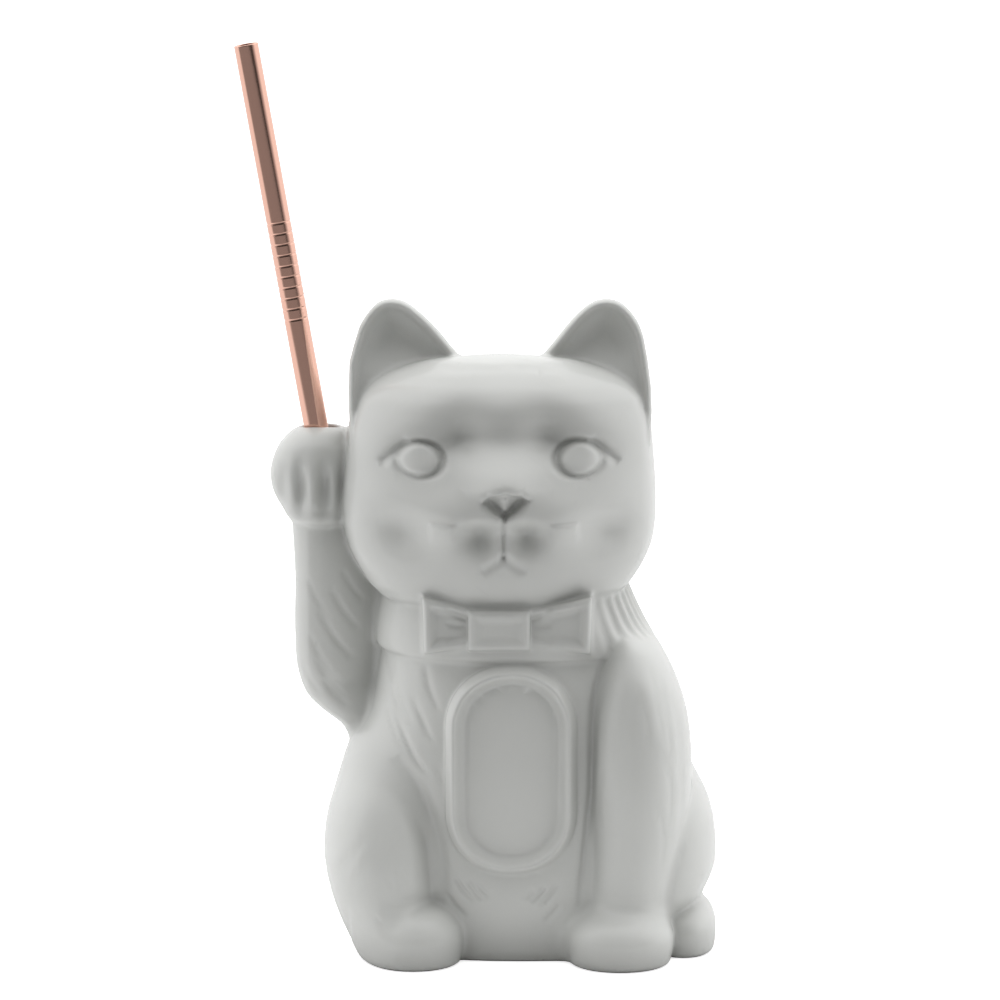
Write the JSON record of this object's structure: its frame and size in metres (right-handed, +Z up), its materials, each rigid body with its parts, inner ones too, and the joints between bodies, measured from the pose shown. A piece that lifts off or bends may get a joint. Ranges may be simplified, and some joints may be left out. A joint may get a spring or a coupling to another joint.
{
  "type": "beckoning cat mug with a straw",
  "caption": "Hollow glazed ceramic mug shaped as a seated beckoning cat, with a metal drinking straw dropped through its raised right paw.",
  "frame": {"origin": "middle of the flat base, on the surface it stands on", "axes": "+Z up along the cat's height; -Y is where the cat faces; +X is the cat's left side, away from the raised paw"},
  "size_m": [0.1194, 0.0898, 0.2237],
  "materials": {
    "glaze": "glossy white glaze",
    "straw": "polished rose-gold coloured stainless steel"
  },
  "bodies": {
    "mug": {"torso_shell": "glaze", "head_shell": "glaze", "right_ear": "glaze", "left_ear": "glaze", "raised_arm": "glaze", "raised_paw": "glaze", "left_foreleg": "glaze", "right_hind_foot": "glaze", "left_hind_foot": "glaze", "tail": "glaze", "collar_band": "glaze", "bow_tie": "glaze", "medallion": "glaze"},
    "straw": {"straw": "straw"}
  },
  "joints": [
    {"name": "straw_slide", "type": "slide", "parent": "mug", "child": "straw", "axis": [-0.1723, -0.0387, 0.9843], "range_m": [0, 0.125]}
  ]
}
